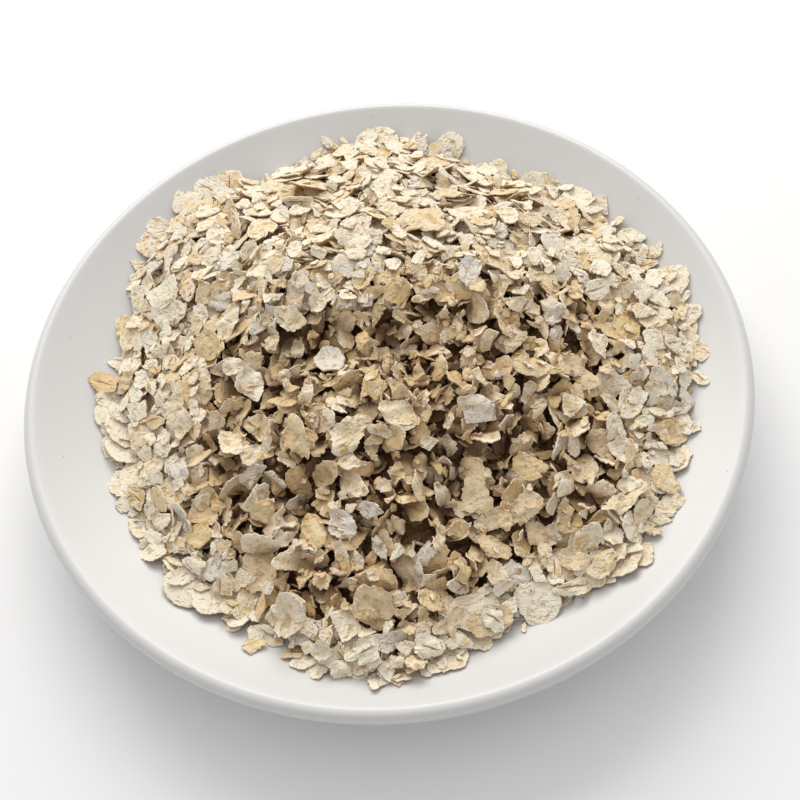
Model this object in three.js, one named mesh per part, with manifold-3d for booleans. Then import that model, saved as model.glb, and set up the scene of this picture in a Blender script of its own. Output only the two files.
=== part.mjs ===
// A shallow white porcelain dish holding a heap of rolled oat flakes.
// Millimetres, +Z up, origin at the middle of the dish's foot, -Y towards the viewer.
import * as THREE from "three";
import { mergeVertices } from "three/addons/utils/BufferGeometryUtils.js";
import Module from "manifold-3d";

const wasm = await Module();
wasm.setup();

// ---------------------------------------------------------------- driving dimensions
const DISH = {
  radius: 75, // half of a six inch side dish
  height: 18,
  lipRadius: 1.7, // the lip is a plain rounded bead, as thick as the wall
  lipSlope: THREE.MathUtils.degToRad(30), // how steeply the dish rises where it meets the lip
  floorRadius: 34,
  floorZ: 5.2,
  footOuter: 44.5,
  footInner: 40,
  footRound: 0.5,
  segments: 60,
};
const HEAP = {
  footRadius: 62.5, // mean radius of the heap's foot on the dish
  topZ: 31.5,
  apexX: 2,
  apexY: 14,
  fullness: 1.65, // 1 is a cone, 2 a round dome
  coverDepth: 0.9, // the core lies this far under the heap's face, and the flakes fill that
  coreInset: 1.2, // and this far inside its foot
  thinnest: 0.6, // of the core at its edge
  pebble: 0.5, // height of the small lumps on the core
  gap: 0.3, // clearance to the glaze
  rings: 11,
  bottomRings: 4,
  segments: 40,
};
const FLAKE = {
  count: 180,
  longest: 12.5,
  shortest: 6.5,
  thickness: 0.85,
  sides: 7,
  scatter: 1.2, // how far each strays from its place in the even spread
  sunk: 0.3, // how far the middle of a flake lies under the heap's face
  lean: 0.62, // radians, the most that a flake leans out of the face
  footLean: 0.15, // and near the foot, where they lie flat on the dish
  footShare: 0.93,
};
const GOLDEN_ANGLE = Math.PI * (3 - Math.sqrt(5));

// ---------------------------------------------------------------- dish
const lipCentre = {
  r: DISH.radius - DISH.lipRadius,
  z: DISH.height - DISH.lipRadius,
};
// The inner face runs from the flat floor to where it touches the lip's round.
const bowlEnd = {
  r: lipCentre.r - DISH.lipRadius * Math.sin(DISH.lipSlope),
  z: lipCentre.z + DISH.lipRadius * Math.cos(DISH.lipSlope),
};
const bowlRun = bowlEnd.r - DISH.floorRadius;
const bowlRise = bowlEnd.z - DISH.floorZ;
const bowlPower = (Math.tan(DISH.lipSlope) * bowlRun) / bowlRise;
const wallThickness = 2 * DISH.lipRadius;

function dishTop(r) {
  const along = Math.max(0, Math.min(r, bowlEnd.r) - DISH.floorRadius) / bowlRun;
  return DISH.floorZ + bowlRise * along ** bowlPower;
}

// The underside lies one wall thickness under the inner face, square to it.
function underside(r) {
  const along = Math.max(0, r - DISH.floorRadius) / bowlRun;
  const slope = Math.atan((bowlPower * bowlRise * along ** (bowlPower - 1)) / bowlRun);
  return new THREE.Vector2(
    r + wallThickness * Math.sin(slope),
    dishTop(r) - wallThickness * Math.cos(slope),
  );
}

function dishProfile() {
  const points = [];
  const footTop = DISH.floorZ - wallThickness;
  points.push(new THREE.Vector2(0, footTop));
  points.push(new THREE.Vector2(DISH.footInner - footTop / 2, footTop));
  points.push(new THREE.Vector2(DISH.footInner, DISH.footRound));
  points.push(new THREE.Vector2(DISH.footInner + DISH.footRound, 0));
  points.push(new THREE.Vector2(DISH.footOuter - DISH.footRound, 0));
  points.push(new THREE.Vector2(DISH.footOuter, DISH.footRound));
  const undersideStart = DISH.footOuter + 1;
  const undersideSteps = 4;
  for (let i = 0; i < undersideSteps; i++) {
    const share = i / undersideSteps;
    points.push(underside(undersideStart + (bowlEnd.r - undersideStart) * share));
  }
  const lipSteps = 6;
  for (let i = 0; i <= lipSteps; i++) {
    const turn = DISH.lipSlope - Math.PI / 2 + (Math.PI * i) / lipSteps;
    points.push(
      new THREE.Vector2(
        lipCentre.r + DISH.lipRadius * Math.cos(turn),
        lipCentre.z + DISH.lipRadius * Math.sin(turn),
      ),
    );
  }
  const bowlSteps = 7;
  for (let i = 1; i <= bowlSteps; i++) {
    const r = bowlEnd.r - (bowlRun * i) / bowlSteps;
    points.push(new THREE.Vector2(r, dishTop(r)));
  }
  points.push(new THREE.Vector2(0, DISH.floorZ));
  return points;
}

// A turned solid, stood up along Z.
function turned(profile, segments) {
  return new THREE.LatheGeometry(profile, segments).rotateX(Math.PI / 2);
}

// ---------------------------------------------------------------- the heap's form
// The foot wanders in and out: waves round the heap, how far each reaches and towards which degree.
const FOOT_WAVES = [
  { waves: 1, reach: 2.0, degree: 27 },
  { waves: 2, reach: 1.6, degree: -155 },
  { waves: 3, reach: 1.7, degree: 20 },
  { waves: 6, reach: 1.1, degree: 117 },
  { waves: 8, reach: 1.0, degree: -36 },
];

function footRadius(angle) {
  let r = HEAP.footRadius;
  for (const { waves, reach, degree } of FOOT_WAVES) {
    r += reach * Math.cos(waves * angle - THREE.MathUtils.degToRad(degree));
  }
  return r;
}

// Round swellings and hollows: where, how high and how wide.
const SWELLINGS = [
  { x: -19, y: 14, high: 2.6, wide: 8 }, // the crest, from left to right
  { x: 0, y: 17, high: 1.8, wide: 9 },
  { x: 19, y: 9, high: 2.6, wide: 9 },
  { x: -13, y: 1, high: -4.5, wide: 7 }, // hollow under the crest
  { x: 5, y: 0, high: -5.5, wide: 8 },
  { x: -11, y: -18, high: 1.4, wide: 6 }, // step that the big flakes lie on
  { x: 5, y: -17, high: 2.4, wide: 7 },
  { x: -19, y: -29, high: -3.4, wide: 6 }, // hollows down the front
  { x: 13, y: -30, high: -3.0, wide: 6 },
  { x: 28, y: -30, high: -2.0, wide: 7 },
  { x: -3, y: -43, high: -2.2, wide: 7 },
  { x: 36, y: -12, high: 1.4, wide: 10 }, // the two flanks
  { x: -38, y: -6, high: 1.4, wide: 9 },
];

// Slow unevenness all over, from a few crossing waves.
function ripple(x, y) {
  let sum = 0;
  for (let i = 0; i < 6; i++) {
    const heading = i * GOLDEN_ANGLE;
    const length = 26 - 3 * i;
    const along = x * Math.cos(heading) + y * Math.sin(heading);
    sum += (0.42 - 0.03 * i) * Math.sin((2 * Math.PI * along) / length + 1.7 * i);
  }
  return sum;
}

// How far out a point lies, from 0 at the apex to 1 at the heap's foot.
function shareOut(x, y) {
  const fade = Math.max(0, 1 - Math.hypot(x, y) / HEAP.footRadius);
  const dx = x - HEAP.apexX * fade;
  const dy = y - HEAP.apexY * fade;
  return Math.hypot(dx, dy) / footRadius(Math.atan2(y, x));
}

function heapTop(x, y) {
  const share = Math.min(1, shareOut(x, y));
  const footZ = dishTop(footRadius(Math.atan2(y, x)));
  let z = footZ + (HEAP.topZ - footZ) * (1 - share ** HEAP.fullness);
  const inside = Math.min(1, 4 * (1 - share));
  for (const swelling of SWELLINGS) {
    const away = Math.hypot(x - swelling.x, y - swelling.y) / swelling.wide;
    z += inside * swelling.high * Math.exp(-away * away);
  }
  return z + inside * ripple(x, y);
}

// ---------------------------------------------------------------- solids
function random(seed) {
  let state = seed;
  return () => {
    state = (state + 0x6d2b79f5) | 0;
    let t = Math.imul(state ^ (state >>> 15), 1 | state);
    t = (t + Math.imul(t ^ (t >>> 7), 61 | t)) ^ t;
    return ((t ^ (t >>> 14)) >>> 0) / 4294967296;
  };
}

function toSolid(geometry) {
  const bare = geometry.clone();
  bare.deleteAttribute("normal");
  bare.deleteAttribute("uv");
  const merged = mergeVertices(bare, 1e-4);
  return new wasm.Manifold(
    new wasm.Mesh({
      numProp: 3,
      vertProperties: merged.attributes.position.array,
      triVerts: new Uint32Array(merged.index.array),
    }),
  );
}

function toGeometry(solid) {
  const mesh = solid.getMesh();
  const geometry = new THREE.BufferGeometry();
  const positions = new THREE.BufferAttribute(mesh.vertProperties, 3);
  geometry.setAttribute("position", positions);
  geometry.setIndex(new THREE.BufferAttribute(mesh.triVerts, 1));
  geometry.computeVertexNormals();
  return geometry;
}

// The packed inside of the heap: turned first, then pushed out to the uneven foot and up to the face.
function heapCore() {
  const profile = [];
  for (let i = 0; i < HEAP.bottomRings; i++) {
    profile.push(new THREE.Vector2(i / HEAP.bottomRings, 0));
  }
  for (let i = 0; i <= HEAP.rings; i++) {
    profile.push(new THREE.Vector2(1 - i / HEAP.rings, 1));
  }
  const geometry = turned(profile, HEAP.segments);
  const position = geometry.getAttribute("position");
  for (let i = 0; i < position.count; i++) {
    const share = Math.hypot(position.getX(i), position.getY(i));
    const angle = Math.atan2(position.getY(i), position.getX(i));
    const r = share * (footRadius(angle) - HEAP.coreInset);
    const x = r * Math.cos(angle);
    const y = r * Math.sin(angle);
    const floor = dishTop(r) + HEAP.gap;
    const onTop = position.getZ(i) > 0.5;
    const pebbled = HEAP.pebble * Math.sin(1.9 * x + 3) * Math.sin(1.7 * y + 1);
    const top = heapTop(x, y) - HEAP.coverDepth + pebbled;
    position.setXYZ(i, x, y, onTop ? Math.max(floor + HEAP.thinnest, top) : floor);
  }
  return toSolid(geometry);
}

// One rolled flake: a thin plate, wider at one end, with a ragged edge, slightly cupped and twisted.
function flakeSolid(length, width, draw) {
  const geometry = new THREE.CylinderGeometry(1, 1, FLAKE.thickness, FLAKE.sides);
  geometry.rotateX(Math.PI / 2);
  const ragged = Array.from({ length: FLAKE.sides }, () => 0.84 + 0.28 * draw());
  const cup = (draw() - 0.35) * 0.24 * width;
  const twist = (draw() - 0.5) * 0.16 * width;
  const taper = 0.3 * (draw() - 0.5);
  const position = geometry.getAttribute("position");
  for (let i = 0; i < position.count; i++) {
    const ux = position.getX(i);
    const uy = position.getY(i);
    const rim = Math.hypot(ux, uy);
    const turn = Math.atan2(uy, ux) / (2 * Math.PI) + 1;
    const side = Math.round(turn * FLAKE.sides) % FLAKE.sides;
    const out = rim > 0.5 ? ragged[side] : 1;
    const x = (ux * out * length) / 2;
    const y = (uy * out * width * (1 + taper * ux)) / 2;
    const bend = rim > 0.5 ? cup * (uy * uy + 0.5 * ux * ux) + twist * ux * uy * 2 : 0;
    position.setXYZ(i, x, y, position.getZ(i) + bend);
  }
  return geometry;
}

// The face's own tilt at a point, as the direction that leads straight out of it.
function faceNormal(x, y) {
  const step = 2.5;
  const dx = (heapTop(x + step, y) - heapTop(x - step, y)) / (2 * step);
  const dy = (heapTop(x, y + step) - heapTop(x, y - step)) / (2 * step);
  return new THREE.Vector3(-dx, -dy, 1).normalize();
}

// How far the lowest corner reaches below the clearance over the glaze.
function reachUnderGap(geometry) {
  const position = geometry.getAttribute("position");
  let reach = 0;
  for (let i = 0; i < position.count; i++) {
    const floor = dishTop(Math.hypot(position.getX(i), position.getY(i))) + HEAP.gap;
    reach = Math.max(reach, floor - position.getZ(i));
  }
  return reach;
}

// Flakes lie like shingles all over the heap, spread by a sunflower spiral, the largest first.
function placedFlakes() {
  const draw = random(11);
  const stride = 89; // takes the places of the spiral in a mixed order, so that sizes are mixed too
  const flakes = [];
  for (let i = 0; i < FLAKE.count; i++) {
    const order = (i * stride) % FLAKE.count;
    const angle = order * GOLDEN_ANGLE;
    const share = Math.sqrt((order + 0.5) / FLAKE.count);
    const r = share * footRadius(angle);
    const x = r * Math.cos(angle) + (2 * draw() - 1) * FLAKE.scatter;
    const y = r * Math.sin(angle) + (2 * draw() - 1) * FLAKE.scatter;
    const size = (1 - i / FLAKE.count) ** 1.4;
    const length = FLAKE.shortest + (FLAKE.longest - FLAKE.shortest) * size;
    const geometry = flakeSolid(length, length * (0.62 + 0.3 * draw()), draw);
    const most = share > FLAKE.footShare ? FLAKE.footLean : FLAKE.lean;
    const lean = most * (draw() + draw() - 1);
    const leanHeading = draw() * 2 * Math.PI;
    geometry.rotateZ(draw() * 2 * Math.PI);
    const leanAxis = new THREE.Vector3(Math.cos(leanHeading), Math.sin(leanHeading), 0);
    const turn = new THREE.Quaternion().setFromUnitVectors(
      new THREE.Vector3(0, 0, 1),
      faceNormal(x, y),
    );
    turn.multiply(new THREE.Quaternion().setFromAxisAngle(leanAxis, lean));
    geometry.applyQuaternion(turn);
    const lift = Math.abs(Math.sin(lean)) * length * 0.12;
    geometry.translate(x, y, heapTop(x, y) - FLAKE.sunk + lift);
    geometry.translate(0, 0, reachUnderGap(geometry));
    flakes.push(toSolid(geometry));
  }
  return flakes;
}

// The largest closed shell alone: pockets sealed between flakes are filled and loose scraps dropped.
function outerShell(solid) {
  const shells = solid.decompose();
  return shells.reduce((best, one) => (one.volume() > best.volume() ? one : best));
}

function oatHeap() {
  const fused = wasm.Manifold.union([heapCore(), ...placedFlakes()]);
  return toGeometry(outerShell(fused.simplify(0.04)));
}

// ---------------------------------------------------------------- the object
const porcelain = new THREE.MeshStandardMaterial({
  color: 0xe9e9e4,
  roughness: 0.15,
  metalness: 0,
});
const rolledOats = new THREE.MeshStandardMaterial({
  color: 0xdccfae,
  roughness: 0.85,
  metalness: 0,
});

const dish = new THREE.Mesh(turned(dishProfile(), DISH.segments), porcelain);
dish.name = "dish";

const oats = new THREE.Mesh(oatHeap(), rolledOats);
oats.name = "oat_heap";

const bowlOfOats = new THREE.Group();
bowlOfOats.add(dish, oats);

export default bowlOfOats;
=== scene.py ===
import math

import bpy
import numpy as np
from mathutils import Matrix, Vector


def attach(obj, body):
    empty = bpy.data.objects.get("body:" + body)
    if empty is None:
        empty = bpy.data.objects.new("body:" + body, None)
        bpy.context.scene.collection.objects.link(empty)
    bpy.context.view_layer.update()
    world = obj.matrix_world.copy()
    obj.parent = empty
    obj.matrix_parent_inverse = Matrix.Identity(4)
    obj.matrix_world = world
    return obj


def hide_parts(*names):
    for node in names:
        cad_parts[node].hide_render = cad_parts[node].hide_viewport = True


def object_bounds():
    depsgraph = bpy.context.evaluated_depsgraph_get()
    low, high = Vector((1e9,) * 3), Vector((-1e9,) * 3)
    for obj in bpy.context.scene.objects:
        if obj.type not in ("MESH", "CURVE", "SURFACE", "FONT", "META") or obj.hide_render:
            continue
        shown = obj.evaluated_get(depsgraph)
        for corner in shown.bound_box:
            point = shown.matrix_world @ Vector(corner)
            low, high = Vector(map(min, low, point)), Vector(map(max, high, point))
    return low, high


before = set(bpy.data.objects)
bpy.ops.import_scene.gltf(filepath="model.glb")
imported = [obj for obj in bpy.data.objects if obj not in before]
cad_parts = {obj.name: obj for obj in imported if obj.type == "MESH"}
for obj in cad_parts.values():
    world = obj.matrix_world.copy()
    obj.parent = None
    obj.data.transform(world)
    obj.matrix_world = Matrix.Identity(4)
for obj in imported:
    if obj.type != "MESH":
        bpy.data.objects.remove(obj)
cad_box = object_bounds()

MM = 0.001  # everything is in metres


# ------------------------------------------------------------------ camera
# A phone held 275 mm off, looking down on the dish at 58 degrees from the
# horizon and tilted a little, so that the dish's right side stands higher.
CAMERA_DISTANCE = 275 * MM
CAMERA_ELEVATION = math.radians(57.73)
CAMERA_TILT = math.radians(-7.22)
LOOK_AT = Vector((2.47 * MM, -5.06 * MM, 12 * MM))
FOCAL_LENGTH = 59.6  # on the 36 mm sensor
SENSOR_WIDTH = 36

back = Vector((0, -math.cos(CAMERA_ELEVATION), math.sin(CAMERA_ELEVATION)))
level = Vector((1, 0, 0))
upright = back.cross(level)
camera_x = math.cos(CAMERA_TILT) * level + math.sin(CAMERA_TILT) * upright
camera_y = back.cross(camera_x)
camera_data = bpy.data.cameras.new("camera")
camera_data.sensor_width = SENSOR_WIDTH
camera_data.lens = FOCAL_LENGTH
camera_data.clip_start = 10 * MM
camera = bpy.data.objects.new("camera", camera_data)
turn = Matrix((camera_x, camera_y, back)).transposed().to_4x4()
camera.matrix_world = Matrix.Translation(LOOK_AT + back * CAMERA_DISTANCE) @ turn
bpy.context.scene.collection.objects.link(camera)
bpy.context.scene.camera = camera


# ------------------------------------------------------------------ dish
# A shallow six inch side dish of white porcelain, turned and dipped in clear
# glaze, with a rounded lip, a flat floor and a low foot ring.
DISH_RADIUS = 75 * MM
DISH_HEIGHT = 18 * MM
LIP_RADIUS = 1.7 * MM
LIP_SLOPE = math.radians(30)  # how steeply the dish rises where it meets the lip
FLOOR_RADIUS = 34 * MM
FLOOR_Z = 5.2 * MM
FOOT_OUTER = 44.5 * MM
FOOT_INNER = 40 * MM
FOOT_ROUND = 0.5 * MM
WALL = 2 * LIP_RADIUS
DISH_SEGMENTS = 256

LIP_CENTRE_R = DISH_RADIUS - LIP_RADIUS
LIP_CENTRE_Z = DISH_HEIGHT - LIP_RADIUS
BOWL_END_R = LIP_CENTRE_R - LIP_RADIUS * math.sin(LIP_SLOPE)
BOWL_END_Z = LIP_CENTRE_Z + LIP_RADIUS * math.cos(LIP_SLOPE)
BOWL_RUN = BOWL_END_R - FLOOR_RADIUS
BOWL_RISE = BOWL_END_Z - FLOOR_Z
BOWL_POWER = math.tan(LIP_SLOPE) * BOWL_RUN / BOWL_RISE


def dish_top(r):
    along = np.clip((r - FLOOR_RADIUS) / BOWL_RUN, 0, 1)
    return FLOOR_Z + BOWL_RISE * along**BOWL_POWER


def dish_underside(r):
    along = np.clip((r - FLOOR_RADIUS) / BOWL_RUN, 0, 1)
    slope = np.arctan(BOWL_POWER * BOWL_RISE * along ** (BOWL_POWER - 1) / BOWL_RUN)
    return np.stack((r + WALL * np.sin(slope), dish_top(r) - WALL * np.cos(slope)), -1)


def dish_profile():
    foot_top = FLOOR_Z - WALL
    foot = [
        (0, foot_top),
        (FOOT_INNER - foot_top / 2, foot_top),
        (FOOT_INNER, FOOT_ROUND),
        (FOOT_INNER + FOOT_ROUND, 0),
        (FOOT_OUTER - FOOT_ROUND, 0),
        (FOOT_OUTER, FOOT_ROUND),
    ]
    under = dish_underside(np.linspace(FOOT_OUTER + 1 * MM, BOWL_END_R, 16)[:-1])
    turns = LIP_SLOPE - math.pi / 2 + np.linspace(0, math.pi, 21)
    lip = np.stack(
        (LIP_CENTRE_R + LIP_RADIUS * np.cos(turns), LIP_CENTRE_Z + LIP_RADIUS * np.sin(turns)), -1
    )
    rs = np.linspace(BOWL_END_R, FLOOR_RADIUS, 24)[1:]
    bowl = np.stack((rs, dish_top(rs)), -1)
    return np.concatenate((foot, under, lip, bowl, [(0, FLOOR_Z)]))


def mesh_object(name, vertices, faces, smooth=True):
    mesh = bpy.data.meshes.new(name)
    mesh.from_pydata([tuple(v) for v in vertices], [], faces)
    mesh.polygons.foreach_set("use_smooth", [smooth] * len(faces))
    made = bpy.data.objects.new(name, mesh)
    bpy.context.scene.collection.objects.link(made)
    return made


def turned_mesh(name, profile, segments):
    """A closed turned form: the profile starts and ends on the axis."""
    inner = profile[1:-1]
    angles = np.linspace(0, 2 * math.pi, segments, endpoint=False)
    rings = len(inner)
    vertices = [(r * math.cos(a), r * math.sin(a), z) for a in angles for r, z in inner]
    vertices += [(0, 0, profile[0][1]), (0, 0, profile[-1][1])]
    low, high = len(vertices) - 2, len(vertices) - 1
    faces = []
    for i in range(segments):
        here, there = i * rings, (i + 1) % segments * rings
        faces.append((low, there, here))
        faces += [(here + k, there + k, there + k + 1, here + k + 1) for k in range(rings - 1)]
        faces.append((high, here + rings - 1, there + rings - 1))
    return mesh_object(name, vertices, faces)


def linear(hex_colour, alpha=1.0):
    """A sRGB hex colour as linear red, green, blue, alpha."""
    channels = [int(hex_colour[i : i + 2], 16) / 255 for i in (1, 3, 5)]
    return tuple(c / 12.92 if c <= 0.04045 else ((c + 0.055) / 1.055) ** 2.4 for c in channels) + (alpha,)


def add_node(tree, kind, inputs, **settings):
    """Adds a node, sets its properties, and gives its inputs values or other nodes' outputs."""
    node = tree.nodes.new(kind)
    for key, value in settings.items():
        setattr(node, key, value)
    for socket, value in inputs.items():
        if isinstance(value, bpy.types.NodeSocket):
            tree.links.new(value, node.inputs[socket])
        else:
            node.inputs[socket].default_value = value
    return node.outputs


def new_material(name):
    material = bpy.data.materials.new(name)
    material.use_nodes = True
    return material, material.node_tree, material.node_tree.nodes["Principled BSDF"]


# Glazed porcelain: a clear glassy coat over a warm white body. The eye sees broad soft
# reflections, a faint unevenness of the dipped glaze, and a few dust specks.
def glazed_porcelain():
    material, tree, shader = new_material("glazed_porcelain")
    place = add_node(tree, "ShaderNodeTexCoord", {})["Object"]
    cloud = add_node(tree, "ShaderNodeTexNoise", {"Vector": place, "Scale": 25.0, "Detail": 2.0})
    tone = add_node(
        tree,
        "ShaderNodeMixRGB",
        {"Fac": cloud["Fac"], "Color1": linear("#dad9d6"), "Color2": linear("#dddddb")},
    )
    # specks of about 0.3 mm, one or two to a square centimetre
    cells = add_node(tree, "ShaderNodeTexVoronoi", {"Vector": place, "Scale": 160.0})
    beyond_speck = add_node(
        tree, "ShaderNodeMapRange", {"Value": cells["Distance"], "From Min": 0.02, "From Max": 0.035}
    )
    painted = add_node(
        tree,
        "ShaderNodeMixRGB",
        {"Fac": beyond_speck["Result"], "Color1": linear("#b9b09e"), "Color2": tone["Color"]},
    )
    tree.links.new(painted["Color"], shader.inputs["Base Color"])
    dipped = add_node(tree, "ShaderNodeTexNoise", {"Vector": place, "Scale": 60.0, "Detail": 1.0})
    bump = add_node(
        tree, "ShaderNodeBump", {"Height": dipped["Fac"], "Strength": 0.05, "Distance": 0.2 * MM}
    )
    tree.links.new(bump["Normal"], shader.inputs["Normal"])
    shader.inputs["Roughness"].default_value = 0.28
    shader.inputs["IOR"].default_value = 1.5
    return material


dish = turned_mesh("porcelain_dish", dish_profile(), DISH_SEGMENTS)
dish.data.materials.append(glazed_porcelain())
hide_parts("dish")
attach(dish, "root")


# ------------------------------------------------------------------ packed oats inside the heap
# The flakes under the shown ones, packed by their own weight. Only slits of
# them show, deep in shade, so they are one lumpy mass.
HEAP_FOOT = 62.5 * MM
HEAP_TOP_Z = 31.5 * MM
APEX_X = 2 * MM
APEX_Y = 14 * MM
FULLNESS = 1.65
FOOT_GAP = 0.3 * MM
# waves round the foot, how far each reaches and towards which degree
FOOT_WAVES = ((1, 2.0, 27), (2, 1.6, -155), (3, 1.7, 20), (6, 1.1, 117), (8, 1.0, -36))
# round swellings and hollows: x, y, how high and how wide
SWELLINGS = (
    (-19, 14, 2.6, 8),  # the crest, from left to right
    (0, 17, 1.8, 9),
    (19, 9, 2.6, 9),
    (-13, 1, -4.5, 7),  # hollow under the crest
    (5, 0, -5.5, 8),
    (-11, -18, 1.4, 6),  # step that the big flakes lie on
    (5, -17, 2.4, 7),
    (-19, -29, -3.4, 6),  # hollows down the front
    (13, -30, -3.0, 6),
    (28, -30, -2.0, 7),
    (-3, -43, -2.2, 7),
    (36, -12, 1.4, 10),  # the two flanks
    (-38, -6, 1.4, 9),
)
GOLDEN_ANGLE = math.pi * (3 - math.sqrt(5))


def foot_radius(angle):
    r = HEAP_FOOT
    for waves, reach, degree in FOOT_WAVES:
        r = r + reach * MM * np.cos(waves * angle - math.radians(degree))
    return r


def ripple(x, y):
    total = 0
    for i in range(6):
        heading = i * GOLDEN_ANGLE
        along = (x * math.cos(heading) + y * math.sin(heading)) / MM
        total = total + (0.42 - 0.03 * i) * np.sin(2 * math.pi * along / (26 - 3 * i) + 1.7 * i)
    return total * MM


def share_out(x, y):
    """How far out a point lies, from 0 at the apex to 1 at the heap's foot."""
    fade = np.clip(1 - np.hypot(x, y) / HEAP_FOOT, 0, 1)
    away = np.hypot(x - APEX_X * fade, y - APEX_Y * fade)
    return away / foot_radius(np.arctan2(y, x))


def heap_top(x, y):
    share = np.minimum(1, share_out(x, y))
    foot_z = dish_top(foot_radius(np.arctan2(y, x)))
    z = foot_z + (HEAP_TOP_Z - foot_z) * (1 - share**FULLNESS)
    inside = np.minimum(1, 4 * (1 - share))
    for centre_x, centre_y, high, wide in SWELLINGS:
        away = np.hypot(x / MM - centre_x, y / MM - centre_y) / wide
        z = z + inside * high * MM * np.exp(-(away**2))
    return z + inside * ripple(x, y)


COVER_DEPTH = 4.2 * MM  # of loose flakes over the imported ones
CORE_INSET = 5 * MM
CORE_RINGS = 40
CORE_SEGMENTS = 120


def packed_core():
    angles = np.linspace(0, 2 * math.pi, CORE_SEGMENTS, endpoint=False)
    shares = np.linspace(0, 1, CORE_RINGS)[1:]
    share, angle = np.meshgrid(shares, angles)
    r = share * (foot_radius(angle) - CORE_INSET)
    x, y = r * np.cos(angle), r * np.sin(angle)
    lumps = 0.5 * MM * np.sin(x / MM * 1.9 + 3) * np.sin(y / MM * 1.7 + 1)
    bottom = dish_top(r) + FOOT_GAP
    top = np.maximum(bottom + 0.2 * MM, heap_top(x, y) - COVER_DEPTH + lumps)
    profile_count = CORE_RINGS - 1
    vertices = []
    for i in range(CORE_SEGMENTS):
        vertices += [(x[i, k], y[i, k], bottom[i, k]) for k in range(profile_count)]
        vertices += [(x[i, k], y[i, k], top[i, k]) for k in reversed(range(profile_count))]
    vertices += [(0, 0, FLOOR_Z + FOOT_GAP), (0, 0, float(heap_top(0.0, 0.0)) - COVER_DEPTH)]
    rings = 2 * profile_count
    low, high = len(vertices) - 2, len(vertices) - 1
    faces = []
    for i in range(CORE_SEGMENTS):
        here, there = i * rings, (i + 1) % CORE_SEGMENTS * rings
        faces.append((low, there, here))
        faces += [(here + k, there + k, there + k + 1, here + k + 1) for k in range(rings - 1)]
        faces.append((high, here + rings - 1, there + rings - 1))
    return mesh_object("packed_oats", vertices, faces)


# Packed rolled oats in deep shade: the same meal as the flakes, seen only as slits. Their dark brown
# colour is painted shade.
def packed_oats():
    material, tree, shader = new_material("packed_oats_painted_shade")
    place = add_node(tree, "ShaderNodeTexCoord", {})["Object"]
    grain = add_node(tree, "ShaderNodeTexNoise", {"Vector": place, "Scale": 500.0, "Detail": 3.0})
    # dark brown: painted shade
    tone = add_node(
        tree,
        "ShaderNodeMixRGB",
        {"Fac": grain["Fac"], "Color1": linear("#3e240c"), "Color2": linear("#8e6434")},
    )
    tree.links.new(tone["Color"], shader.inputs["Base Color"])
    bump = add_node(
        tree, "ShaderNodeBump", {"Height": grain["Fac"], "Strength": 0.8, "Distance": 0.4 * MM}
    )
    tree.links.new(bump["Normal"], shader.inputs["Normal"])
    shader.inputs["Roughness"].default_value = 0.9
    return material


core = packed_core()
core.data.materials.append(packed_oats())
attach(core, "root")


# ------------------------------------------------------------------ rolled oat flakes
# Hulled oat kernels, steamed and pressed between rollers: thin crumpled plates,
# many of them split or torn. They are dropped one by one and lie where they land.
SEED = 5
CELL = 0.3 * MM  # of the height map that the flakes land on
REACH = 74 * MM
CELLS = int(2 * REACH / CELL)
axis_places = (np.arange(CELLS) + 0.5) * CELL - REACH
map_x, map_y = np.meshgrid(axis_places, axis_places)
map_r = np.hypot(map_x, map_y)
glaze = dish_top(map_r) + 0.05 * MM


def stirred(x, y):
    """How much the heap has been stirred: fully in the middle and the front, hardly elsewhere. It also
    sets how strong the painted shade on deep flakes is.
    """
    inward = np.clip((0.95 - share_out(x, y)) / 0.1, 0, 1)
    forward = np.clip((18 * MM - y) / (14 * MM), 0, 1)
    between = np.clip((50 * MM - np.abs(x - 4 * MM)) / (14 * MM), 0, 1)
    return inward * (0.15 + 0.85 * forward * between)


def pits(x, y):
    """Small pits where the heap has been stirred."""
    total = 0
    for i in range(5):
        heading = 0.4 + i * GOLDEN_ANGLE
        along = (x * math.cos(heading) + y * math.sin(heading)) / MM
        total = total + np.sin(2 * math.pi * along / (8 - 0.8 * i) + 2.3 * i)
    return 1.6 * MM * np.maximum(0, total - 0.2) * stirred(x, y)


target = np.maximum(heap_top(map_x, map_y), glaze)
target -= pits(map_x, map_y)
target[share_out(map_x, map_y) > 1] = 0
height = np.maximum(glaze, heap_top(map_x, map_y) - COVER_DEPTH)
on_core = map_r < foot_radius(np.arctan2(map_y, map_x)) - CORE_INSET
height = np.where(on_core, height, glaze)
topmost = np.full(height.shape, -1)  # which flake shows from above
draw = np.random.default_rng(SEED)
flakes = []
EDGE_STEPS = 128
edge_turns = np.linspace(0, 2 * math.pi, EDGE_STEPS, endpoint=False)


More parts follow.
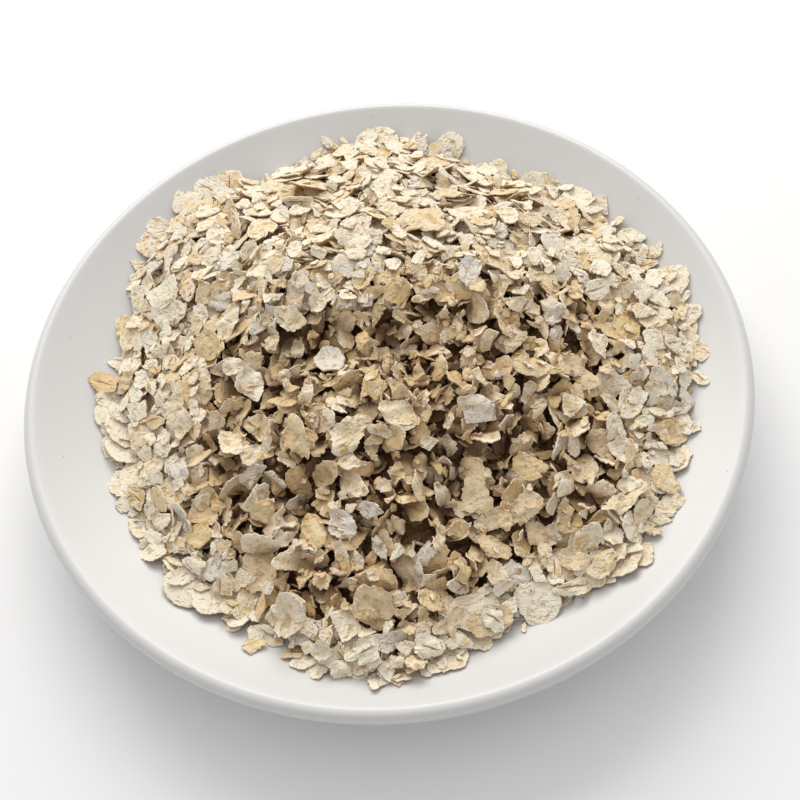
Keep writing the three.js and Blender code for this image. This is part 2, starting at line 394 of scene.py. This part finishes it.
def torn_edge(length, width, torn):
    """A flake's ragged edge, as a radius for each of the directions round it."""
    a, b = length / 2, width / 2
    r = a * b / np.sqrt((b * np.cos(edge_turns)) ** 2 + (a * np.sin(edge_turns)) ** 2)
    r = r * (1 + draw.uniform(-0.15, 0.15) * np.cos(edge_turns))
    for waves in range(2, 22):
        swing = draw.normal() * (0.025 + 0.03 * torn) / waves**0.6
        r = r * (1 + swing * np.cos(waves * edge_turns + draw.uniform(0, 6.3)))
    for _ in range(draw.binomial(7, 0.75 * torn)):
        facing = draw.uniform(0, 2 * math.pi)
        depth = draw.uniform(0.45, 0.85) * np.interp(facing, edge_turns, r, period=2 * math.pi)
        towards = np.cos(edge_turns - facing)
        ragged = 1 + np.convolve(draw.normal(size=EDGE_STEPS) * 0.05, (0.5, 0.5), "same")
        r = np.where(towards > 0.1, np.minimum(r, depth / np.maximum(towards, 0.1) * ragged), r)
    for _ in range(draw.binomial(2, 0.25)):
        gap = np.abs((edge_turns - draw.uniform(0, 6.28) + math.pi) % (2 * math.pi) - math.pi)
        r = r * (1 - draw.uniform(0.1, 0.35) * np.exp(-((gap / draw.uniform(0.06, 0.13)) ** 2)))
    teeth = np.convolve(draw.normal(size=EDGE_STEPS), (0.25, 0.5, 0.25), "same") * 0.16 * MM
    return np.maximum(r + teeth, 0.3 * MM)


class Form:
    """How a flake is cupped, curled at its edge and crumpled."""

    def __init__(self, length, width, crumple):
        self.a, self.b = length / 2, width / 2
        bent = min(1, 0.3 + crumple)
        self.cup = bent * draw.uniform(-0.1, 0.16), bent * draw.uniform(-0.14, 0.3)
        self.twist = bent * draw.normal() * 0.12
        self.curl = bent * draw.uniform(0, 0.22) ** 2 * length
        self.curls = draw.integers(2, 5), draw.uniform(0, 6.3)
        self.folds = []
        # wavelengths from and to, and the most height, in mm: long bends first, then short crumples
        kinds = (3, 7, 0.3), (3, 7, 0.3), (2, 4, 0.2), (1.4, 2.4, 0.1), (1.4, 2.4, 0.1)
        for shortest, longest, high in kinds:
            heading = draw.uniform(0, 6.3)
            stretch = 2 * math.pi / (draw.uniform(shortest, longest) * MM)
            high *= crumple * draw.uniform(0.3, 1) * MM
            wave = math.cos(heading) * stretch, math.sin(heading) * stretch
            self.folds.append((*wave, draw.uniform(0, 6.3), high))

    def bend(self, u, v, share, turn):
        z = self.cup[0] * u**2 / self.a + self.cup[1] * v**2 / self.b + self.twist * u * v / self.a
        z = z + self.curl * share**3 * np.sin(self.curls[0] * turn + self.curls[1])
        for along_u, along_v, phase, high in self.folds:
            z = z + high * np.arcsin(0.94 * np.sin(along_u * u + along_v * v + phase))
        return z


class Flake:
    """One flake: its kind, tones, thickness, edge, form and where it lies."""


def window_of(x, y, reach):
    """The square of map cells that a flake at x, y can cover."""
    low_i, low_j = (max(0, int((p - reach + REACH) / CELL)) for p in (x, y))
    return np.s_[low_j : int((y + reach + REACH) / CELL) + 2, low_i : int((x + reach + REACH) / CELL) + 2]


def support_slope(x, y, reach):
    """The slope of what the flake will lie on, weighted to the highest spots under it."""
    cells = window_of(x, y, reach)
    dx, dy = map_x[cells] - x, map_y[cells] - y
    near = np.hypot(dx, dy) < reach
    dx, dy, z = dx[near], dy[near], height[cells][near]
    weight = np.ones_like(z)
    rows = np.stack((dx, dy, np.full_like(dx, reach)), -1)
    for _ in range(3):
        square = (rows * weight[:, None]).T @ rows + np.eye(3) * 1e-12
        plane = np.linalg.solve(square, (rows * weight[:, None]).T @ z)
        weight = np.exp(np.clip((z - rows @ plane) / (0.5 * MM), -3, 3))
    return np.clip(plane[:2], -1, 1)


def turned_about(vector, axis, angle):
    """Rodrigues' turn of a vector about a unit axis."""
    return (
        vector * math.cos(angle)
        + np.cross(axis, vector) * math.sin(angle)
        + axis * (axis @ vector) * (1 - math.cos(angle))
    )


THINNEST = 0.35 * MM
THICKEST = 0.6 * MM
FULL_THICKNESS_FROM = 6 * MM  # shorter pieces are thinner
FLOURY_THICKER = 1.4
STEEPEST_UP = 0.12  # of a flake's upward direction, as nothing stands quite on its edge
PROPPED_FROM = 0.5  # lean in radians
NESTLED_FLAT = 0.86  # share of what a flake covers that stays under it
NESTLED_STEEP = 0.7  # the steep ones slip in between the others
OFF_THE_GLAZE = 0.15 * MM
OUTERMOST = 71.5 * MM


def drop(kind, x, y, length, width, torn, crumple, lean, tone, heading=None, proud=1.6 * MM, shade=1):
    """Drops one flake at x, y, lays it on the heap and adds it to the height map."""
    flake = Flake()
    # shade: how much of the painted shade the flake takes on
    flake.kind, flake.tone, flake.shade = kind, tone, shade
    fullness = 0.6 + 0.4 * min(1, length / FULL_THICKNESS_FROM)
    flake.thickness = draw.uniform(THINNEST, THICKEST) * fullness
    if kind == "floury":
        flake.thickness *= FLOURY_THICKER
    flake.edge = torn_edge(length, width, torn)
    flake.form = Form(length, width, crumple)
    slope = support_slope(x, y, 0.42 * length)
    normal = np.array((-slope[0], -slope[1], 1.0))
    normal /= np.linalg.norm(normal)
    facing = draw.uniform(0, 2 * math.pi)
    normal = turned_about(normal, np.array((-math.sin(facing), math.cos(facing), 0)), lean)
    if normal[2] < STEEPEST_UP:
        return False
    heading = draw.uniform(0, 2 * math.pi) if heading is None else heading
    along = np.array((math.cos(heading), math.sin(heading), 0))
    along -= normal * (along @ normal)
    along /= np.linalg.norm(along)
    across = np.cross(normal, along)

    cells = window_of(x, y, flake.edge.max())
    dx, dy = map_x[cells] - x, map_y[cells] - y
    spread = along[0] * across[1] - along[1] * across[0]
    u = (dx * across[1] - dy * across[0]) / spread
    v = (dy * along[0] - dx * along[1]) / spread
    turn = np.arctan2(v, u)
    share = np.hypot(u, v) / np.interp(turn, edge_turns, flake.edge, period=2 * math.pi)
    covered = share < 1
    if covered.sum() < 3:
        return False
    rise = u * along[2] + v * across[2] + flake.form.bend(u, v, np.minimum(share, 1), turn) * normal[2]
    half = flake.thickness / 2 / max(normal[2], 0.35)
    nestled = NESTLED_FLAT if lean < PROPPED_FROM else NESTLED_STEEP
    z = np.quantile((height[cells] - rise + half)[covered], nestled)
    flake.turned = np.stack((along, across, normal))
    flake.centre = np.array((x, y, z))
    points, _ = flake_points(flake, (0.9, 0), (0.9, 0), 24)
    radii = np.hypot(points[:, 0], points[:, 1])
    sunk = max(0, (dish_top(radii) + OFF_THE_GLAZE - points[:, 2]).max())
    flake.centre[2] += sunk
    too_high = points[:, 2].max() + sunk > cad_box[1].z - 0.1 * MM
    too_proud = flake.centre[2] > max(heap_top(x, y), dish_top(math.hypot(x, y))) + proud
    if too_high or too_proud or radii.max() > OUTERMOST:
        return False
    landed = flake.centre[2] + rise + half
    higher = covered & (landed > height[cells])
    height[cells] = np.where(higher, landed, height[cells])
    topmost[cells] = np.where(higher, len(flakes), topmost[cells])
    flakes.append(flake)
    return True


def flake_points(flake, shares, sides, segments):
    """The flake's points ring by ring, then its two middles, and where they lie on the flake."""
    turn = np.linspace(0, 2 * math.pi, segments, endpoint=False)
    share = np.array(shares)[:, None] * np.ones(segments)
    edge = np.interp(turn, edge_turns, flake.edge, period=2 * math.pi)
    u, v = share * edge * np.cos(turn), share * edge * np.sin(turn)
    full = flake.thickness / 2 * (1 - 0.3 * share**2)
    off = flake.form.bend(u, v, share, turn) + np.array(sides)[:, None] * full
    middle = flake.form.bend(0, 0, 0, 0)
    u, v = np.append(u.ravel(), (0, 0)), np.append(v.ravel(), (0, 0))
    off = np.append(off.ravel(), (middle + flake.thickness / 2, middle - flake.thickness / 2))
    local = np.stack((u, v, off), -1)
    return flake.centre + local @ flake.turned, local[:, :2]


def next_spots(count, power=2):
    """Places where the heap is still lowest under its face."""
    block = 10  # cells to a side
    blocks = CELLS // block
    want = np.maximum(target - height, 0)[: blocks * block, : blocks * block]
    want = (want.reshape(blocks, block, blocks, block).mean((1, 3)).ravel() / MM) ** power + 1e-9
    chosen = draw.choice(want.size, size=count, p=want / want.sum())
    j, i = np.divmod(chosen, blocks)
    spots = (np.stack((i, j), -1) + draw.uniform(size=(count, 2))) * block * CELL - REACH
    return spots.tolist()


def lean_angle(wild, x, y):
    """Most flakes lie almost flat on their neighbours, some are propped up and a few stand."""
    stir = float(stirred(x, y))
    wild = wild * (0.15 + 0.85 * stir)
    chance = draw.uniform()
    if chance > wild:
        return abs(draw.normal()) * (0.1 + 0.07 * stir)
    if chance > 0.4 * wild:
        return draw.uniform(0.25, 0.75)
    return draw.uniform(0.75, 1.2)


def sprinkle(kind, spots, sizes, torn, crumple, wild, flour):
    """Drops one flake of a kind at each spot."""
    for x, y in spots:
        calm = 1 - float(stirred(x, y))  # where the largest flakes have come to lie on top
        if kind == "chips" and draw.uniform() < 0.5 * calm:
            continue
        length = draw.uniform(*sizes) * (0.85 + 0.25 * calm) * MM
        width = length * (draw.uniform(0.3, 0.55) if kind == "split" else draw.uniform(0.55, 0.9))
        floury = min(1, draw.uniform(*flour) + 0.35 * calm)
        tone = (floury, draw.uniform(), draw.uniform())
        drop(kind, x, y, length, width, torn, crumple * (1 - 0.7 * calm), lean_angle(wild, x, y), tone)


def toe_spots(count):
    """Places all along the foot of the heap, in and a little out of it."""
    turns = draw.uniform(0, 2 * math.pi, count)
    r = foot_radius(turns) + draw.uniform(-3.5, 1.0, count) * MM
    return np.stack((r * np.cos(turns), r * np.sin(turns)), -1).tolist()


def spread_highest(field, cells):
    """Each cell's highest value within a square round it."""
    for axis in (0, 1):
        field = np.max([np.roll(field, step, axis) for step in range(-cells, cells + 1)], 0)
    return field


def smoothed(field, cells):
    for axis in (0, 1, 0, 1):
        field = np.mean([np.roll(field, step, axis) for step in range(-cells, cells + 1)], 0)
    return field


# the lower layers first, then the foot, then all kinds mixed until the heap stands full
for _ in range(12):
    sprinkle("under", next_spots(60), (4, 8), 0.6, 0.8, 0.4, (0, 0.3))
sprinkle("broken", toe_spots(50), (4, 8), 1.0, 0.4, 0.1, (0.3, 1.0))
sprinkle("split", toe_spots(40), (4, 8), 0.8, 0.4, 0.1, (0.3, 1.0))
sprinkle("whole", toe_spots(45), (6, 9), 0.1, 0.3, 0.1, (0.3, 1.0))
sprinkle("chips", toe_spots(90), (1.6, 3.6), 1.0, 0.5, 0.2, (0.2, 1.0))
inside = share_out(map_x, map_y) < 1
ROOM_LEFT = 0.35 * MM
while np.maximum(target - height, 0)[inside].mean() > ROOM_LEFT:
    sprinkle("whole", next_spots(9), (5.5, 9.5), 0.3, 0.6, 0.5, (0.1, 0.9))
    sprinkle("torn", next_spots(16), (4, 9), 1.0, 1.0, 0.7, (0, 0.9))
    sprinkle("split", next_spots(13), (4, 8.5), 0.8, 1.0, 0.7, (0, 0.9))
    sprinkle("floury", next_spots(7), (4, 8.5), 0.8, 1.2, 0.5, (0.4, 1.0))
    sprinkle("chips", next_spots(40), (1.4, 3.4), 1.0, 0.9, 0.7, (0, 0.9))
# where the heap lies calm, flat ones have slid into the gaps
calm_map = (1 - stirred(map_x, map_y)) * (share_out(map_x, map_y) < 0.99)
brim = heap_top(map_x, map_y) + 1.2 * MM
for _ in range(32):
    level = np.minimum(brim, smoothed(spread_highest(height, 5), 4) - 0.3 * MM)
    target = height + np.maximum(0, level - height) * calm_map
    sprinkle("broken", next_spots(24), (3.5, 6.5), 0.6, 0.5, 0.1, (0.2, 1.0))
    sprinkle("chips", next_spots(20), (1.8, 3.8), 1.0, 0.5, 0.2, (0.2, 1.0))
# the large ones that catch the eye: kind, x, y, length, width, heading in degrees, how
# floury, how warm in tone, how far leaning; the ones with a last 1 show the kernel's furrow
SHOWN = (
    ("whole", 12, 27, 14, 9, 52, 0.3, 0.5, 0.1, 0),  # over the crest, from the back forwards
    ("torn", -2, 28, 10, 6.5, 97, 0.7, 0.3, 0.1, 0),
    ("floury", -16.5, 21, 10, 4.5, 91, 0.8, 0.3, 0.2, 0),
    ("floury", 6.5, 11, 10.5, 6.5, 25, 0.7, 0.6, 0.1, 0),
    ("torn", -10.5, 13, 5.5, 3, 160, 1.0, 0.2, 0.1, 0),
    ("torn", -19.5, 9.5, 7, 3.5, 148, 0.9, 0.2, 0.1, 0),
    ("whole", 21, 38, 9, 6, 142, 0.3, 0.6, 0.1, 0),
    ("whole", -59.5, 8, 7, 5.5, 156, 0.2, 0.8, 0.1, 1),  # the left flank
    ("torn", -53.5, 6, 5.5, 4, 0, 0.3, 0.7, 0.1, 0),
    ("whole", -30.5, 10, 8, 6, 59, 0.7, 0.5, 0.05, 0),
    ("whole", -35.5, 7, 7.5, 6, 109, 0.3, 0.8, 0.05, 0),
    ("whole", -30, 0, 5.5, 3.8, 165, 0.8, 0.3, 0.05, 0),
    ("torn", -41, -10.5, 8, 5.5, 121, 0.6, 0.4, 0.1, 0),
    ("torn", -34, -11, 7, 4.5, 25, 0.5, 0.5, 0.1, 0),
    ("torn", -31, -17, 8.5, 5.5, 97, 0.7, 0.5, 0.4, 0),
    ("whole", -27, -6, 9, 5.5, 85, 0.9, 0.2, 0.05, 0),
    ("floury", -10.5, -3, 9, 6, 104, 0.8, 0.5, 0.1, 0),  # the step in the middle
    ("split", -17.5, -20, 9.5, 4, 93, 0.3, 0.7, 0.5, 0),
    ("torn", -8.5, -26, 6.5, 4.6, 25, 0.5, 0.5, 0.1, 0),
    ("torn", -8, -21, 11, 6.6, 33, 0.6, 0.4, 0.05, 0),
    ("torn", -2, -22, 5.5, 4, 138, 0.6, 0.3, 0.05, 0),
    ("whole", 1.5, -19, 8, 6, 131, 0.5, 0.4, 0.05, 0),
    ("floury", 17.5, -20, 9, 6.5, 108, 0.7, 0.3, 0.1, 0),
    ("torn", 14, -34, 9, 7.5, 94, 0.4, 0.6, 0.1, 0),
    ("floury", 13, -32, 4.8, 3.8, 150, 0.6, 0.5, 0.1, 0),
    ("torn", 24, -37.5, 9, 7, 116, 0.4, 0.6, 0.2, 0),
    ("whole", -26.5, -31.5, 7, 4.3, 81, 0.3, 0.9, 0.1, 0),  # the front slope
    ("whole", -16.5, -37.5, 8.5, 4.5, 114, 0.1, 1.0, 0.1, 0),
    ("floury", -11.5, -37, 7.5, 5, 134, 1.0, 0.1, 0.1, 0),
    ("floury", -5.5, -36, 6, 3.5, 142, 0.9, 0.2, 0.2, 0),
    ("whole", 16.5, -44, 7, 4.6, 165, 0.3, 0.8, 0.1, 0),
    ("torn", 18, -51, 11, 7.5, 85, 0.7, 0.4, 0.4, 0),
    ("whole", 10, -48.5, 6, 4.3, 117, 0.2, 0.9, 0.3, 0),
    ("whole", 31.5, -47.5, 7, 4.5, 169, 0.5, 0.6, 0.2, 0),
    ("whole", 36.5, -48.5, 7, 5, 47, 0.6, 0.6, 0.1, 0),
    ("torn", -24, -51.5, 10, 8.3, 6, 0.7, 0.4, 0.2, 0),
    ("torn", -7, -53.5, 9, 7.5, 135, 0.3, 0.8, 0.1, 0),
    ("split", 7, -57, 7, 3.3, 63, 0.4, 0.6, 0.3, 0),
    ("whole", 13.5, -57, 9.5, 6, 15, 0.2, 0.7, 0.05, 0),  # out on the dish at the front
    ("whole", 14.5, -57, 5.5, 4.3, 142, 1.0, 0.2, 0.05, 1),
    ("split", 30, -52.5, 8, 3.5, 0, 0.8, 0.3, 0.05, 1),
    ("torn", -30, -55.5, 4.6, 4, 15, 0.5, 0.6, 0.05, 0),
    ("torn", -17.5, -59.5, 5, 4, 147, 0.8, 0.4, 0.05, 0),
    ("whole", -14.5, -63.5, 4.6, 4, 156, 0.8, 0.2, 0.05, 0),
    ("whole", -9, -61, 7, 4.8, 22, 0.9, 0.3, 0.05, 1),
    ("torn", -5, -64, 5.2, 3, 12, 0.7, 0.4, 0.05, 0),
    ("whole", -1, -64, 3.8, 3.3, 134, 0.7, 0.5, 0.05, 0),
    ("torn", 2, -61.5, 7.5, 5.4, 157, 0.9, 0.3, 0.05, 1),
    ("torn", 54, -23, 7, 5.5, 13, 0.3, 0.7, 0.1, 0),  # the right flank
    ("whole", 52, -32.5, 7, 5.5, 121, 0.3, 0.7, 0.1, 0),
    ("torn", 41.5, -39, 8.5, 5, 8, 0.6, 0.4, 0.05, 0),
    ("split", 47, -43, 3.8, 2.5, 166, 0.5, 0.7, 0.05, 0),
)
for kind, x, y, length, width, heading, flour, warmth, lean, furrowed in SHOWN:
    torn = 0.6 if kind == "torn" else 0.25
    tone = (flour, warmth, 0.97 if furrowed else 0.5 * draw.uniform())
    heading = math.radians(heading)
    # the shown flakes take on less of the painted shade
    shade = 0.6 if kind == "floury" else 0.35
    drop(kind, x * MM, y * MM, length * MM, width * MM, torn, 0.9, lean, tone, heading, 3 * MM, shade)
# and the last few that fell over them
for kind, count, sizes in (("split", 60, (3.5, 6.5)), ("broken", 70, (3, 5.5)), ("chips", 160, (1.3, 3))):
    turns, shares = draw.uniform(0, 2 * math.pi, count), np.sqrt(draw.uniform(0, 0.9, count))
    r = shares * foot_radius(turns)
    spots = np.stack((r * np.cos(turns), r * np.sin(turns)), -1).tolist()
    sprinkle(kind, spots, sizes, 1.0, 0.9, 0.6, (0.2, 1.0))


# the face that the highest flakes reach, to tell how deep in the heap a point lies, for the painted shade
face_z = smoothed(spread_highest(height, 6), 5)
FULL_SHADE_DEPTH = 5 * MM


def painted_shade_of(points):
    """Painted shade: 0 for what stands free, 1 for what lies deep between the other flakes, stronger
    where the heap was stirred.
    """
    i, j = (np.clip(((points[:, k] + REACH) / CELL).astype(int), 0, CELLS - 1) for k in (0, 1))
    shade_weight = 0.2 + 0.95 * stirred(points[:, 0], points[:, 1])
    return np.clip((face_z[j, i] - points[:, 2]) / FULL_SHADE_DEPTH * shade_weight, 0, 1)


# rings of a flake's mesh, from its upper middle over the rim to its lower middle:
# share of the way out, side (1 upper, 0 rim, -1 lower)
FINE = (0.3, 1), (0.57, 1), (0.8, 1), (0.97, 0.9), (1.0, 0), (0.96, -0.9)
PLAIN = (0.55, 1), (0.96, 0.9), (1.0, 0), (0.94, -0.9)
COARSE = (0.95, 0.9), (1.0, -0.5)
shown_area = np.bincount(topmost[topmost >= 0], minlength=len(flakes)) * CELL**2


def finish_of(shown):
    """How finely a flake is meshed, by how much of it shows."""
    if shown < 0.8 * MM**2:
        return COARSE, 12
    if shown < 6 * MM**2:
        return PLAIN, 27
    return FINE, 48


def flake_faces(rings, segments):
    here = np.arange(segments)
    there = (here + 1) % segments
    steps = (np.arange(len(rings) - 1) * segments)[:, None]
    quads = np.stack((steps + here, steps + segments + here, steps + segments + there, steps + there), -1)
    upper = len(rings) * segments
    last = (len(rings) - 1) * segments
    upper_fan = np.stack((np.full(segments, upper), here, there), -1)
    lower_fan = np.stack((np.full(segments, upper + 1), last + there, last + here), -1)
    return quads.reshape(-1, 4), np.concatenate((upper_fan, lower_fan))


def flakes_object(name, members):
    """Flakes as one mesh, each point marked with its place on its flake, its flake's tones and its
    painted shade.
    """
    points, flats, marks, corners, sizes = [], [], [], [], []
    offset = 0
    for flake, shown in members:
        rings, segments = finish_of(shown)
        shares, sides = zip(*rings)
        placed, flat = flake_points(flake, shares, sides, segments)
        out = np.where(np.array(sides) > 0, shares, 1.3)  # past 1 round the edge and underneath
        rim = np.append(np.repeat(out, segments), (0, 1.3))
        points.append(placed)
        flats.append(flat / MM)
        tones = np.tile(flake.tone, (len(placed), 1))
        marks.append(np.column_stack((tones, painted_shade_of(placed) * flake.shade, rim)))
        for faces in flake_faces(rings, segments):
            corners.append((faces + offset).ravel())
            sizes.append(np.full(len(faces), faces.shape[1]))
        offset += len(placed)
    corners, sizes = np.concatenate(corners), np.concatenate(sizes)
    mesh = bpy.data.meshes.new(name)
    mesh.vertices.add(offset)
    mesh.vertices.foreach_set("co", np.concatenate(points).ravel())
    mesh.loops.add(len(corners))
    mesh.loops.foreach_set("vertex_index", corners)
    mesh.polygons.add(len(sizes))
    mesh.polygons.foreach_set("loop_start", np.cumsum(sizes) - sizes)
    mesh.polygons.foreach_set("use_smooth", np.ones(len(sizes), bool))
    on_flake = mesh.uv_layers.new(name="on_flake")
    on_flake.data.foreach_set("uv", np.concatenate(flats)[corners].ravel())
    marks = np.concatenate(marks)
    tones = mesh.color_attributes.new("tone_and_painted_shade", "FLOAT_COLOR", "POINT")
    tones.data.foreach_set("color", marks[:, :4].ravel())
    rims = mesh.attributes.new("rim", "FLOAT", "POINT")
    rims.data.foreach_set("value", marks[:, 4])
    mesh.update(calc_edges=True)
    mesh.set_sharp_from_angle(angle=math.radians(38))  # pressed flat, so the edge is crisp
    made = bpy.data.objects.new(name, mesh)
    bpy.context.scene.collection.objects.link(made)
    return made


# Rolled oats, pressed and dried: matt cream meal with white flour, golden round the edge, with fine
# striations along the kernel and a few brown creases. Painted highlight whitens the frayed rim; painted
# shade turns the hollows golden, the underside darker and the deeper flakes brown.
def rolled_oat(name, flour_colour, flour_from, relief_height):
    material, tree, shader = new_material(name)
    place = add_node(tree, "ShaderNodeUVMap", {}, uv_map="on_flake")["UV"]  # in mm
    tones = add_node(tree, "ShaderNodeVertexColor", {}, layer_name="tone_and_painted_shade")
    apart = add_node(tree, "ShaderNodeSeparateColor", {"Color": tones["Color"]})
    # the alpha is the painted shade, by how deep the point lies
    flour, warmth, chance, depth = apart["Red"], apart["Green"], apart["Blue"], tones["Alpha"]
    rim = add_node(tree, "ShaderNodeAttribute", {}, attribute_name="rim")["Fac"]
    spot = add_node(tree, "ShaderNodeSeparateXYZ", {"Vector": place})
    # each flake takes its own slice of the noises
    layer = add_node(tree, "ShaderNodeMath", {0: chance, 1: 97.0}, operation="MULTIPLY")[0]
    point = add_node(tree, "ShaderNodeCombineXYZ", {"X": spot["X"], "Y": spot["Y"], "Z": layer})[0]
    along_grain = add_node(tree, "ShaderNodeMapping", {"Vector": point, "Scale": (0.25, 2.0, 1.0)})[0]
    noises = {}
    for pattern, vector, scale, detail, roughness in (
        ("swell", point, 0.6, 2.0, 0.5),  # a millimetre or two apart
        ("striations", along_grain, 1.0, 1.0, 0.5),  # half a millimetre apart
        ("grit", point, 3.4, 2.0, 0.7),  # a quarter of a millimetre
        ("thin", point, 0.22, 1.0, 0.5),  # patches pressed thinner
    ):
        noises[pattern] = add_node(
            tree,
            "ShaderNodeTexNoise",
            {"Vector": vector, "Scale": scale, "Detail": detail, "Roughness": roughness},
        )["Fac"]
    swell, striations, grit, thin = noises.values()
    # sharp folds run where the swell crosses its mean, with hollows between them
    crossing = add_node(tree, "ShaderNodeMath", {0: swell, 1: 0.5}, operation="SUBTRACT")[0]
    hollow = add_node(tree, "ShaderNodeMath", {0: crossing}, operation="ABSOLUTE")[0]
    relief = add_node(tree, "ShaderNodeMath", {0: hollow, 1: -1.3, 2: swell}, operation="MULTIPLY_ADD")[0]
    for pattern, share in ((striations, 0.26), (grit, 0.18)):
        relief = add_node(
            tree, "ShaderNodeMath", {0: pattern, 1: share, 2: relief}, operation="MULTIPLY_ADD"
        )[0]

    thinner = add_node(tree, "ShaderNodeMath", {0: warmth, 1: 0.5, 2: thin}, operation="MULTIPLY_ADD")[0]
    near_rim = add_node(tree, "ShaderNodeMath", {0: rim, 1: 4.0}, operation="POWER")[0]
    gold_rim = add_node(tree, "ShaderNodeMath", {0: near_rim, 1: warmth}, operation="MULTIPLY")[0]
    # flour in fine grit, more on the frayed rim as flour and painted highlight, and less in the hollows
    # as painted shade
    rim_flour_and_highlight = add_node(tree, "ShaderNodeMath", {0: rim, 1: 12.0}, operation="POWER")[0]
    flour_with_painted_light = flour
    for pattern, share in ((grit, 0.6), (rim_flour_and_highlight, 0.45), (hollow, -2.2)):
        flour_with_painted_light = add_node(
            tree, "ShaderNodeMath", {0: pattern, 1: share, 2: flour_with_painted_light}, operation="MULTIPLY_ADD"
        )[0]
    # the furrow of a kernel that was pressed flat on its back
    wander = add_node(
        tree, "ShaderNodeMath", {0: swell, 1: 0.9, 2: spot["Y"]}, operation="MULTIPLY_ADD"
    )[0]
    aside = add_node(tree, "ShaderNodeMath", {0: wander, 1: 0.45}, operation="SUBTRACT")[0]
    aside = add_node(tree, "ShaderNodeMath", {0: aside}, operation="ABSOLUTE")[0]
    aside = add_node(tree, "ShaderNodeMath", {0: near_rim, 1: 0.6, 2: aside}, operation="MULTIPLY_ADD")[0]
    other_side = add_node(tree, "ShaderNodeMath", {0: chance, 1: 0.94}, operation="LESS_THAN")[0]
    furrow = add_node(tree, "ShaderNodeMath", {0: aside, 1: other_side}, operation="ADD")[0]

    colour = linear("#f8ecd2")
    for value, start, end, share, tint in (
        (thinner, 0.45, 1.05, 1.0, "#ecd5a6"),
        (gold_rim, 0.12, 0.9, 0.75, "#dfb06a"),
        (chance, 0.5, 0.85, 0.5, "#e4c58b"),  # the kernels that were tan all through
        # painted shade: golden in the hollows between the folds and brown in the low parts of the relief
        (hollow, 0.06, 0.18, 0.45, "#e3b874"),
        (swell, 0.39, 0.29, 0.4, "#cd9f5e"),
        (grit, 0.46, 0.3, 0.4, "#cfa260"),
        (flour_with_painted_light, flour_from - 0.1, flour_from + 0.3, 1.0, flour_colour),
        (furrow, 0.26, 0.1, 0.85, "#9c6a34"),
        (rim, 1.18, 1.3, 0.7, "#cb9c58"),  # painted shade on the edge wall and the underside, which also has less flour
        (depth, 0.22, 0.65, 0.55, "#e0ba82"),  # painted shade: the flakes lower down golden
        # painted shade: the deepest flakes dark brown
        (depth, 0.55, 1.0, 0.85, "#5c3612"),
    ):
        amount = add_node(
            tree,
            "ShaderNodeMapRange",
            {"Value": value, "From Min": start, "From Max": end, "To Max": share},
        )["Result"]
        colour = add_node(
            tree, "ShaderNodeMixRGB", {"Fac": amount, "Color1": colour, "Color2": linear(tint)}
        )["Color"]
    tree.links.new(colour, shader.inputs["Base Color"])
    bump = add_node(tree, "ShaderNodeBump", {"Height": relief, "Distance": relief_height})
    tree.links.new(bump["Normal"], shader.inputs["Normal"])
    shader.inputs["Roughness"].default_value = 0.85
    shader.inputs["IOR"].default_value = 1.45
    return material


cream = rolled_oat("rolled_oat_cream", "#fcf2db", 0.84, 0.9 * MM)
floury = rolled_oat("rolled_oat_floury", "#f1e8d8", 0.62, 1.3 * MM)
FINISHES = {
    "under": ("under_flakes", cream),
    "whole": ("whole_flakes", cream),
    "torn": ("torn_flakes", cream),
    "broken": ("broken_flakes", cream),
    "split": ("split_flakes", cream),
    "floury": ("floury_flakes", floury),
    "chips": ("flake_chips", cream),
}
for kind, (name, material) in FINISHES.items():
    members = [(flake, shown) for flake, shown in zip(flakes, shown_area) if flake.kind == kind]
    piece = flakes_object(name, members)
    piece.data.materials.append(material)
    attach(piece, "root")
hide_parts("oat_heap")


# ------------------------------------------------------------------ floor and light
# A plain white table top, a wide window behind the dish and a pale room.
floor = mesh_object(
    "floor", [(-2, -2, 0), (2, -2, 0), (2, 2, 0), (-2, 2, 0)], [(0, 1, 2, 3)], smooth=False
)
material, tree, shader = new_material("white_table")
shader.inputs["Base Color"].default_value = linear("#fbfbfb")
shader.inputs["Roughness"].default_value = 0.9
floor.data.materials.append(material)
floor.location.z = -0.1 * MM


def window(name, place, aim, width, height_, watts, colour):
    lamp = bpy.data.lights.new(name, "AREA")
    lamp.shape = "RECTANGLE"
    lamp.size, lamp.size_y = width, height_
    lamp.energy = watts
    lamp.color = linear(colour)[:3]
    made = bpy.data.objects.new(name, lamp)
    made.location = place
    made.rotation_euler = (Vector(aim) - Vector(place)).to_track_quat("-Z", "Y").to_euler()
    bpy.context.scene.collection.objects.link(made)


window("window", (-0.05, 0.8, 0.62), (0, 0, 0), 1.0, 0.6, 8.1, "#fffcf6")
window("ceiling_light", (0.0, 0.12, 0.8), (0, 0, 0), 0.8, 0.8, 1.1, "#fffefc")

world = bpy.data.worlds.new("pale_room")
world.use_nodes = True
world.node_tree.nodes["Background"].inputs["Color"].default_value = linear("#fcfcff")
world.node_tree.nodes["Background"].inputs["Strength"].default_value = 0.5
bpy.context.scene.world = world
bpy.context.scene.view_settings.view_transform = "Standard"
